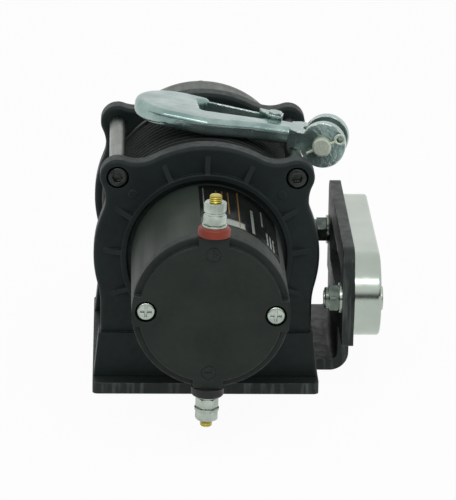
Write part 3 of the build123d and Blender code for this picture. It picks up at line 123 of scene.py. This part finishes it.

# Finishes: two colours in patches, a range of roughness, grain and blotch to the metre, a depth of relief
# and, where given, a grain drawn out along an axis, rubbed edges (on the hook also a painted rim
# highlight), scratches or the pitch of a thread
lengthwise = (1, 0.04, 1)
laminated = (0.04, 1, 0.04)
finishes = {
    "cast_black": dict(colour=(24, 33, 32), shade=(31, 41, 40), rough=(0.44, 0.58), grain=1700,
                       depth=0.06 * MM, edge=(46, 56, 54), gloss=0.2),
    "plate_black": dict(colour=(34, 41, 39), shade=(42, 50, 47), rough=(0.42, 0.54), grain=1300,
                        depth=0.015 * MM, blotch=22, edge=(92, 99, 93), scuff=(96, 105, 101), gloss=0.25),
    "can_black": dict(colour=(43, 51, 45), shade=(52, 60, 53), rough=(0.42, 0.56), grain=900,
                      depth=0.01 * MM, stretch=lengthwise, gloss=0.14),
    "cap_black": dict(colour=(33, 40, 36), shade=(41, 48, 44), rough=(0.5, 0.64), grain=2200,
                      depth=0.04 * MM, edge=(60, 66, 61), gloss=0.22),
    "rod_steel": dict(colour=(113, 120, 112), shade=(91, 98, 90), rough=(0.24, 0.38), metal=1.0, grain=1400,
                      depth=0.01 * MM, stretch=lengthwise, blotch=60),
    "zinc": dict(colour=(180, 190, 180), shade=(146, 156, 146), rough=(0.14, 0.28), metal=1.0, grain=1600,
                 depth=0.02 * MM, blotch=160),
    "black_oxide": dict(colour=(32, 35, 33), shade=(54, 58, 55), rough=(0.16, 0.3), metal=0.7, grain=1600,
                        depth=0.02 * MM, blotch=160, edge=(112, 118, 111)),
    # the hook's edge colour is a painted highlight along its rounded rims as well as the rubbing of the
    # zinc
    "hook_zinc": dict(colour=(168, 189, 184), shade=(128, 152, 148), rough=(0.1, 0.22), metal=0.75,
                      grain=520, depth=0.1 * MM, blotch=70, edge=(224, 232, 228), edge_radius=0.9 * MM),
    "pin_zinc": dict(colour=(212, 220, 204), shade=(188, 197, 181), rough=(0.2, 0.34), metal=0.15,
                     grain=900, depth=0.03 * MM, blotch=150, edge=(226, 230, 220)),
    "nut_zinc": dict(colour=(118, 131, 122), shade=(78, 90, 82), rough=(0.14, 0.26), metal=0.6, grain=900,
                     depth=0.03 * MM, blotch=220, edge=(196, 206, 198)),
    "fairlead_aluminium": dict(colour=(176, 186, 176), shade=(164, 174, 164), rough=(0.15, 0.24), metal=1.0,
                               grain=1500, depth=0.006 * MM, stretch=lengthwise, blotch=30),
    "housing_steel": dict(colour=(90, 98, 92), shade=(80, 88, 82), rough=(0.34, 0.5), metal=1.0, grain=1100,
                          depth=0.02 * MM, stretch=lengthwise, blotch=50),
    "drum_steel": dict(colour=(92, 98, 93), shade=(72, 78, 74), rough=(0.32, 0.5), metal=1.0, grain=1000,
                       depth=0.02 * MM, blotch=55, edge=(150, 156, 149)),
    "gear_steel": dict(colour=(165, 166, 168), shade=(135, 136, 140), rough=(0.25, 0.4), metal=1.0,
                       grain=1200, depth=0.01 * MM),
    "core_iron": dict(colour=(120, 120, 124), shade=(92, 90, 88), rough=(0.45, 0.6), metal=1.0, grain=1400,
                      depth=0.06 * MM, stretch=laminated),
    "magnet": dict(colour=(64, 65, 68), shade=(78, 78, 80), rough=(0.5, 0.65), metal=0.2, grain=2000,
                   depth=0.03 * MM),
    "copper": dict(colour=(206, 130, 92), shade=(170, 96, 66), rough=(0.28, 0.44), metal=1.0,
                   depth=0.03 * MM),
    "brass": dict(colour=(204, 190, 92), shade=(178, 162, 74), rough=(0.22, 0.36), metal=1.0,
                  thread=1.0 * MM),
    "bronze": dict(colour=(176, 136, 82), shade=(148, 110, 66), rough=(0.32, 0.48), metal=1.0, grain=1300),
    "spring_steel": dict(colour=(142, 143, 146), shade=(112, 113, 118), rough=(0.25, 0.4), metal=1.0,
                         thread=0.8 * MM),
    "red_plastic": dict(colour=(148, 60, 40), shade=(124, 46, 32), rough=(0.34, 0.48), grain=1700,
                        depth=0.03 * MM, gloss=0.35),
    "black_plastic": dict(colour=(30, 33, 31), shade=(42, 45, 43), rough=(0.42, 0.58), grain=1900,
                          depth=0.04 * MM, edge=(70, 74, 71), gloss=0.3),
    "carbon": dict(colour=(34, 34, 36), shade=(48, 48, 50), rough=(0.55, 0.7), grain=2400, depth=0.04 * MM),
    "gasket": dict(colour=(96, 84, 62), shade=(116, 102, 78), rough=(0.7, 0.85), grain=2600,
                   depth=0.06 * MM),
    "label_black": dict(colour=(14, 16, 15), shade=(22, 25, 23), rough=(0.12, 0.2), grain=800,
                        depth=0.01 * MM, gloss=0.35),
    "print_silver": dict(colour=(172, 182, 174), shade=(150, 160, 152), rough=(0.26, 0.36), metal=0.6,
                         grain=1800, depth=0.01 * MM),
    "print_gold": dict(colour=(164, 124, 48), shade=(140, 102, 38), rough=(0.28, 0.38), metal=0.6,
                       grain=1800, depth=0.01 * MM),
}

# Pieces whose plating differs from the rest of their slot
own_finish = {"clevis_pin": "pin_zinc", "cotter_pin": "pin_zinc", "fairlead_nuts": "nut_zinc"}

# Plate on the motor
label_front = 14.0 * MM       # from the front of the can
label_back = 4.5 * MM         # from the back of the can
label_thickness = 0.15 * MM
label_ends = (28.0, 97.0)     # degrees from +X towards +Z
label_gap = 0.02 * MM
label_crease = 40.0           # degrees; a sharper edge is drawn sharp
print_thickness = 0.05 * MM
stripes = (                   # angles, shares of the label's length from its front, finish
    (93.5, 94.3, 0.3, 0.92, "print_silver"),
    (64.0, 95.0, 0.02, 0.16, "print_silver"),
    (84.0, 85.0, 0.3, 0.86, "print_gold"),
    (79.5, 80.5, 0.3, 0.86, "print_gold"),
    (75.0, 76.0, 0.3, 0.86, "print_gold"),
    (67.5, 68.5, 0.04, 0.94, "print_gold"),
    (55.5, 58.0, 0.05, 0.64, "print_silver"),
    (46.5, 48.0, 0.42, 0.8, "print_silver"),
    (42.5, 44.0, 0.05, 0.34, "print_silver"),
    (39.0, 40.5, 0.05, 0.34, "print_silver"),
    (35.5, 37.0, 0.05, 0.34, "print_silver"),
)


# Small helpers for materials
def srgb(red, green, blue):
    """A colour as it looks on a screen, 0 to 255, as linear light."""
    linear = []
    for value in (red, green, blue):
        share = value / 255
        linear.append(share / 12.92 if share <= 0.04045 else ((share + 0.055) / 1.055) ** 2.4)
    return (*linear, 1.0)


def node(tree, kind, **settings):
    """A new shader node with its settings."""
    made = tree.nodes.new(kind)
    for key, value in settings.items():
        setattr(made, key, value)
    return made


def new_material(name):
    """An empty material, its node tree and its surface shader."""
    material = bpy.data.materials.new(name)
    material.use_nodes = True
    return material, material.node_tree, material.node_tree.nodes["Principled BSDF"]


def object_place(tree, stretch=(1, 1, 1)):
    """Places on the object in metres, drawn out along an axis whose factor is small."""
    source = node(tree, "ShaderNodeTexCoord")
    mapping = node(tree, "ShaderNodeMapping")
    mapping.inputs["Scale"].default_value = stretch
    tree.links.new(source.outputs["Object"], mapping.inputs["Vector"])
    return mapping.outputs["Vector"]


def noise(tree, place, scale, detail=4.0):
    """Cloudy noise, scale features to the metre."""
    texture = node(tree, "ShaderNodeTexNoise")
    texture.inputs["Scale"].default_value = scale
    texture.inputs["Detail"].default_value = detail
    tree.links.new(place, texture.inputs["Vector"])
    return texture.outputs["Fac"]


def spread(tree, value, low, high, start=0.35, end=0.65):
    """A value between start and end, spread to between low and high."""
    ranged = node(tree, "ShaderNodeMapRange")
    tree.links.new(value, ranged.inputs["Value"])
    for key, number in (("From Min", start), ("From Max", end), ("To Min", low), ("To Max", high)):
        ranged.inputs[key].default_value = number
    return ranged.outputs["Result"]


def combine(tree, operation, first, second):
    """Two values put together by arithmetic."""
    made = node(tree, "ShaderNodeMath", operation=operation)
    for value, socket in ((first, made.inputs[0]), (second, made.inputs[1])):
        if isinstance(value, (int, float)):
            socket.default_value = value
        else:
            tree.links.new(value, socket)
    return made.outputs["Value"]


def blend_colours(tree, factor, first, second):
    """From the first colour to the second as factor goes from 0 to 1."""
    mix = node(tree, "ShaderNodeMix", data_type="RGBA")
    tree.links.new(factor, mix.inputs[mix_factor])
    for value, socket in ((first, mix.inputs[mix_first]), (second, mix.inputs[mix_second])):
        if isinstance(value, tuple):
            socket.default_value = value
        else:
            tree.links.new(value, socket)
    return mix.outputs[mix_result]


def rounded_side(tree, radius):
    """Which way the surface faces, with its edges rounded by a radius."""
    rounded = node(tree, "ShaderNodeBevel", samples=bevel_samples)
    rounded.inputs["Radius"].default_value = radius
    return rounded.outputs["Normal"]


def edge_rub_and_highlight(tree, radius, rub_and_highlight_noise):
    """Rubbed edges, on the hook also a painted highlight: where the surface turns sharply and the noise is
    high.
    """
    true_side = node(tree, "ShaderNodeNewGeometry")
    facing = node(tree, "ShaderNodeVectorMath", operation="DOT_PRODUCT")
    tree.links.new(rounded_side(tree, radius), facing.inputs[0])
    tree.links.new(true_side.outputs["Normal"], facing.inputs[1])
    turning = spread(tree, facing.outputs["Value"], 1.0, 0.0, *rub_and_highlight_turn)
    return combine(tree, "MULTIPLY", turning, spread(tree, rub_and_highlight_noise, 0.0, 1.0, *rub_and_highlight_start))


def scuffed(tree, colour, scuff):
    """A colour with upright scratches on the faces that look along Y."""
    side = node(tree, "ShaderNodeNewGeometry")
    split = node(tree, "ShaderNodeSeparateXYZ")
    tree.links.new(side.outputs["Normal"], split.inputs["Vector"])
    facing = spread(tree, combine(tree, "ABSOLUTE", split.outputs["Y"], 0.0), 0.0, 1.0, *scuff_facing)
    scratches = noise(tree, object_place(tree, scuff_stretch), scuff_lines, scuff_detail)
    marks = combine(tree, "MULTIPLY", facing, spread(tree, scratches, 0.0, 1.0, *scuff_start))
    return blend_colours(tree, marks, colour, srgb(*scuff))


def thread_turns(tree, place, pitch):
    """The turns of a thread along Z, one wave to each."""
    turns = node(tree, "ShaderNodeTexWave", bands_direction="Z", wave_profile="TRI")
    turns.inputs["Scale"].default_value = wave_unit / pitch
    tree.links.new(place, turns.inputs["Vector"])
    return turns.outputs["Fac"]


def relief(tree, shader, height, depth, edge_radius):
    """Bumps of a depth on a surface whose edges look slightly rounded."""
    bump = node(tree, "ShaderNodeBump")
    bump.inputs["Distance"].default_value = depth
    tree.links.new(height, bump.inputs["Height"])
    tree.links.new(rounded_side(tree, edge_radius), bump.inputs["Normal"])
    tree.links.new(bump.outputs["Normal"], shader.inputs["Normal"])


def finish(name, colour, shade, rough, metal=0.0, grain=1500, depth=0.02 * MM, stretch=(1, 1, 1),
           blotch=45, edge=None, edge_radius=0.5 * MM, scuff=None, thread=None, gloss=0.5):
    """A surface of two colours with uneven roughness, fine relief or a thread, rubs (on the hook also a
    painted rim highlight) and scratches.
    """
    material, tree, shader = new_material(name)
    place = object_place(tree)
    drawn = object_place(tree, stretch)
    patches = spread(tree, noise(tree, place, blotch), 0.0, 1.0)
    colour_out = blend_colours(tree, patches, srgb(*colour), srgb(*shade))
    rough_out = spread(tree, noise(tree, drawn, grain / rough_size), *rough)
    if edge:
        # the edge colour is rubbing, and on the hook a painted highlight as well
        rubbed_and_lit = edge_rub_and_highlight(tree, rub_and_highlight_width * edge_radius, noise(tree, place, rub_and_highlight_blotch))
        colour_out = blend_colours(tree, rubbed_and_lit, colour_out, srgb(*edge))
        rough_out = combine(tree, "SUBTRACT", rough_out, combine(tree, "MULTIPLY", rubbed_and_lit, wear_polish))
    if scuff:
        colour_out = scuffed(tree, colour_out, scuff)
    if thread:
        height = thread_turns(tree, place, thread)
        depth = thread_depth * thread
    else:
        height = noise(tree, drawn, grain, grain_detail)
    tree.links.new(colour_out, shader.inputs["Base Color"])
    tree.links.new(rough_out, shader.inputs["Roughness"])
    shader.inputs["Metallic"].default_value = metal
    shader.inputs["Specular IOR Level"].default_value = gloss
    relief(tree, shader, height, depth, edge_radius)
    return material


def rope_finish():
    """Dark braided fibre: the strands cross at an angle, with fine yarns along each."""
    material, tree, shader = new_material("rope")
    source = node(tree, "ShaderNodeUVMap", uv_map="lay")
    split = node(tree, "ShaderNodeSeparateXYZ")
    tree.links.new(source.outputs["UV"], split.inputs["Vector"])
    slant = combine(tree, "MULTIPLY", split.outputs["Y"], braid_strands)
    yarns = []
    for hand in ("ADD", "SUBTRACT"):
        lay = combine(tree, hand, combine(tree, "MULTIPLY", split.outputs["X"], braid_strands), slant)
        yarns.append(combine(tree, "SINE", combine(tree, "MULTIPLY", lay, 2 * pi * strand_yarns), 0.0))
    place = object_place(tree)
    fuzz = noise(tree, place, fibre_fuzz)
    height = combine(tree, "ADD", combine(tree, "MULTIPLY", *yarns), fuzz)
    patches = spread(tree, noise(tree, place, fibre_blotch), 0.0, 1.0)
    dark, pale = (srgb(*colour) for colour in fibre_colours)
    tree.links.new(blend_colours(tree, patches, dark, pale), shader.inputs["Base Color"])
    tree.links.new(spread(tree, fuzz, *fibre_rough), shader.inputs["Roughness"])
    shader.inputs["Sheen Weight"].default_value = fibre_sheen
    shader.inputs["Specular IOR Level"].default_value = fibre_gloss
    relief(tree, shader, height, fibre_depth, fibre_edge)
    return material


# Meshes
def mesh_piece(name, points, faces, material, body):
    """A new piece from points and faces, with its finish, on a body."""
    mesh = bpy.data.meshes.new(name)
    mesh.from_pydata(points, [], faces)
    mesh.materials.append(material)
    mesh.shade_smooth()
    piece = bpy.data.objects.new(name, mesh)
    bpy.context.scene.collection.objects.link(piece)
    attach(piece, body)
    return piece


def spline_points(name, control):
    """Points along a smooth spline through the neighbourhood of the control points."""
    curve = bpy.data.curves.new(name, "CURVE")
    curve.dimensions = "3D"
    curve.resolution_u = rope_steps
    spline = curve.splines.new("NURBS")
    spline.points.add(len(control) - 1)
    for point, place in zip(spline.points, control):
        point.co = (*place, 1.0)
    spline.order_u = 3
    spline.use_endpoint_u = True
    holder = bpy.data.objects.new(name, curve)
    line = bpy.data.meshes.new_from_object(holder)
    points = [vertex.co.copy() for vertex in line.vertices]
    bpy.data.objects.remove(holder)
    bpy.data.curves.remove(curve)
    bpy.data.meshes.remove(line)
    return points


def rope_control():
    """Control points of the outer layer: up out of the layers below, round the drum, and down again."""
    low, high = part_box("rope_winding")
    axis_z = (low.z + high.z) / 2
    thickness = rope_thickness()
    layer = (high.x - low.x) / 2 - thickness / 2
    first_y, last_y = low.y + thickness / 2, high.y - thickness / 2
    turns = int((last_y - first_y) / (thickness + rope_gap))
    step = 2 * pi / rope_turn_points
    outer = layer / cos(step / 2)
    count = turns * rope_turn_points
    dive = len(rope_dive) - 1
    points = []
    for k in range(-dive, count + dive + 1):
        angle = rope_start + k * step
        y = first_y + (last_y - first_y) * min(max(k / count, 0.0), 1.0)
        beyond = max(-k, k - count, 0)
        reach = outer - rope_dive[beyond] * thickness
        points.append((reach * cos(angle), y, axis_z + reach * sin(angle)))
    return points


def rope_thickness():
    """The rope's diameter, from the room between the outer layer and the layers below."""
    outer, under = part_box("rope_winding"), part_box("rope_core")
    return (outer[1].x - outer[0].x) / 2 - (under[1].x - under[0].x) / 2 - rope_rest


def wound_rope(material):
    """The outer layer as a braided rope."""
    path = spline_points("rope_route", rope_control())
    radius = rope_thickness() / 2 - braid_depth / 2
    points, uvs = [], []
    along = 0.0
    for k, place in enumerate(path):
        ahead = path[min(k + 1, len(path) - 1)] - path[max(k - 1, 0)]
        ahead.normalize()
        along += (place - path[k - 1]).length if k else 0.0
        side = (Vector((0, 1, 0)) - ahead * ahead.y).normalized()
        up = side.cross(ahead)
        for i in range(rope_ring):
            turn = 2 * pi * i / rope_ring
            lay = pi * along / braid_length
            lift = braid_depth * cos(braid_strands / 2 * turn + lay) * cos(braid_strands / 2 * turn - lay)
            points.append(place + (side * cos(turn) + up * sin(turn)) * (radius + lift / 2))
            uvs.append((i / rope_ring, along / braid_length))
    faces = []
    for k in range(len(path) - 1):
        for i in range(rope_ring):
            near, far = k * rope_ring, (k + 1) * rope_ring
            following = (i + 1) % rope_ring
            faces.append((near + i, near + following, far + following, far + i))
    faces.append(tuple(range(rope_ring - 1, -1, -1)))
    faces.append(tuple(range(len(points) - rope_ring, len(points))))
    piece = mesh_piece("rope_outer_layer", points, faces, material, "drum")
    write_lay(piece, uvs)
    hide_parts("rope_winding")


def write_lay(piece, uvs):
    """Keep each point's place round and along the rope for its finish."""
    layer = piece.data.uv_layers.new(name="lay")
    for loop in piece.data.loops:
        layer.data[loop.index].uv = uvs[loop.vertex_index]


def under_layers(material):
    """The layers below: one body whose surface shows turns of rope that run the other way."""
    low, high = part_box("rope_core")
    axis_z = (low.z + high.z) / 2
    radius = (high.x - low.x) / 2
    pitch = rope_thickness()
    profile = [low.y + (high.y - low.y) * k / under_along for k in range(under_along + 1)]
    points, uvs = [], []
    for i in range(under_around):
        angle = 2 * pi * i / under_around
        rows = []
        for y in profile:
            turn = pi * (y / pitch + i / under_around)
            rows.append((radius - under_rib * (1 - abs(cos(turn))), y))
        rows += [(barrel_radius, high.y), (barrel_radius, low.y)]
        for reach, y in rows:
            points.append((reach * cos(angle), y, axis_z + reach * sin(angle)))
            uvs.append((y / pitch, radius * angle / braid_length))
    width = len(profile) + 2
    faces = []
    for i in range(under_around):
        for k in range(width):
            here, after = i * width, (i + 1) % under_around * width
            following = (k + 1) % width
            faces.append((here + k, here + following, after + following, after + k))
    piece = mesh_piece("rope_under_layers", points, faces, material, "drum")
    write_lay(piece, uvs)
    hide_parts("rope_core")


def can_patch(name, start, end, front, back, lift, thickness, material, slot):
    """A thin curved plate on the motor can, between two angles and two places along it."""
    low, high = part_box("motor_can")
    axis_z = (low.z + high.z) / 2
    radius = (high.x - low.x) / 2 + lift
    steps = max(2, int(end - start))
    points, faces = [], []
    for i in range(steps + 1):
        angle = radians(start + (end - start) * i / steps)
        for reach in (radius, radius + thickness):
            for y in (front, back):
                points.append((reach * cos(angle), y, axis_z + reach * sin(angle)))
    for i in range(steps):
        here, after = 4 * i, 4 * (i + 1)
        for a, b in ((0, 1), (1, 3), (3, 2), (2, 0)):
            faces.append((here + a, here + b, after + b, after + a))
    last = 4 * steps
    faces.append((0, 2, 3, 1))
    faces.append((last, last + 1, last + 3, last + 2))
    piece = mesh_piece(name, points, faces, material, "frame")
    sharp = piece.modifiers.new("edges", "EDGE_SPLIT")
    sharp.split_angle = radians(label_crease)


def motor_label(looks):
    """A plain black plate with silver and gold stripes along the can."""
    low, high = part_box("motor_can")
    front, back = low.y + label_front, high.y - label_back
    can_patch("motor_label", *label_ends, front, back, label_gap, label_thickness, looks["label_black"],
              "can_black")
    lift = label_gap + label_thickness
    for k, (start, end, near, far, look) in enumerate(stripes):
        ends = [front + share * (back - front) for share in (near, far)]
        can_patch(f"label_stripe_{k + 1}", start, end, *ends, lift, print_thickness, looks[look], "zinc")


# Stage
def white_rays(tree):
    """1 for rays that see the background straight, in a mirror or through glass, otherwise 0."""
    path = node(tree, "ShaderNodeLightPath")
    seen = combine(tree, "MAXIMUM", path.outputs["Is Camera Ray"], path.outputs["Is Glossy Ray"])
    return combine(tree, "MAXIMUM", seen, path.outputs["Is Transmission Ray"])


def add_world():
    """White all round, but for the dark of a room low down in front of the winch."""
    world = bpy.data.worlds.new("studio")
    world.use_nodes = True
    bpy.context.scene.world = world
    tree = world.node_tree
    direction = node(tree, "ShaderNodeTexCoord")
    split = node(tree, "ShaderNodeSeparateXYZ")
    tree.links.new(direction.outputs["Generated"], split.inputs["Vector"])
    front = spread(tree, split.outputs["Y"], 1.0, 0.0, *room_side)
    low = spread(tree, split.outputs["Z"], 1.0 - room_level, 0.0, *room_top)
    white = combine(tree, "SUBTRACT", 1.0, combine(tree, "MULTIPLY", front, low))
    level = combine(tree, "MULTIPLY", white, spread(tree, white_rays(tree), world_level, 1.0, 0.0, 1.0))
    tree.links.new(level, tree.nodes["Background"].inputs["Strength"])
    tree.nodes["Background"].inputs["Color"].default_value = (1, 1, 1, 1)


def add_floor():
    """A white floor that keeps the winch's shadow."""
    material, tree, shader = new_material("floor")
    glow = node(tree, "ShaderNodeEmission")
    mix = node(tree, "ShaderNodeMixShader")
    tree.links.new(combine(tree, "MULTIPLY", white_rays(tree), floor_white), mix.inputs["Fac"])
    tree.links.new(shader.outputs["BSDF"], mix.inputs[1])
    tree.links.new(glow.outputs["Emission"], mix.inputs[2])
    tree.links.new(mix.outputs["Shader"], tree.nodes["Material Output"].inputs["Surface"])
    shader.inputs["Base Color"].default_value = floor_colour
    shader.inputs["Roughness"].default_value = floor_rough
    mesh = bpy.data.meshes.new("floor")
    signs = ((-1, -1), (1, -1), (1, 1), (-1, 1))
    corners = [(x * floor_half, y * floor_half, -floor_drop) for x, y in signs]
    mesh.from_pydata(corners, [], [(0, 1, 2, 3)])
    mesh.materials.append(material)
    floor = bpy.data.objects.new("floor", mesh)
    bpy.context.scene.collection.objects.link(floor)


def add_lamps():
    """Large soft lamps that face the winch."""
    for name, place, width, height, power, mirrored in lamps:
        light = bpy.data.lights.new(name, "AREA")
        light.shape = "RECTANGLE"
        light.size = width
        light.size_y = height
        light.energy = power
        lamp = bpy.data.objects.new(name, light)
        lamp.location = place
        lamp.visible_glossy = mirrored
        lamp.rotation_euler = (Vector(place) - Vector(lamp_aim)).to_track_quat("Z", "Y").to_euler()
        bpy.context.scene.collection.objects.link(lamp)


def add_camera():
    """The photo's viewpoint."""
    elevation, yaw, roll = (radians(angle) for angle in (camera_elevation, camera_yaw, camera_roll))
    back = Vector((sin(yaw) * cos(elevation), -cos(yaw) * cos(elevation), sin(elevation)))
    level = Vector((cos(yaw), sin(yaw), 0))
    upright = back.cross(level)
    right = level * cos(roll) - upright * sin(roll)
    up = level * sin(roll) + upright * cos(roll)
    data = bpy.data.cameras.new("camera")
    data.sensor_width = camera_sensor
    data.lens = camera_lens
    camera = bpy.data.objects.new("camera", data)
    camera.matrix_world = Matrix.Translation(camera_eye) @ Matrix((right, up, back)).transposed().to_4x4()
    bpy.context.scene.collection.objects.link(camera)
    bpy.context.scene.camera = camera


# Put it together
looks = {name: finish(name, **settings) for name, settings in finishes.items()}
looks["rope"] = rope_finish()
slot_of = {part["node"]: part["material_slot"] for part in frame["record"]["subparts"]}
for name, solid in frame["nodes"].items():
    solid.data.materials.clear()
    solid.data.materials.append(looks[own_finish.get(name, slot_of[name])])

wound_rope(looks["rope"])
under_layers(looks["rope"])
motor_label(looks)
add_world()
add_floor()
add_lamps()
add_camera()
bpy.context.scene.view_settings.view_transform = "Standard"
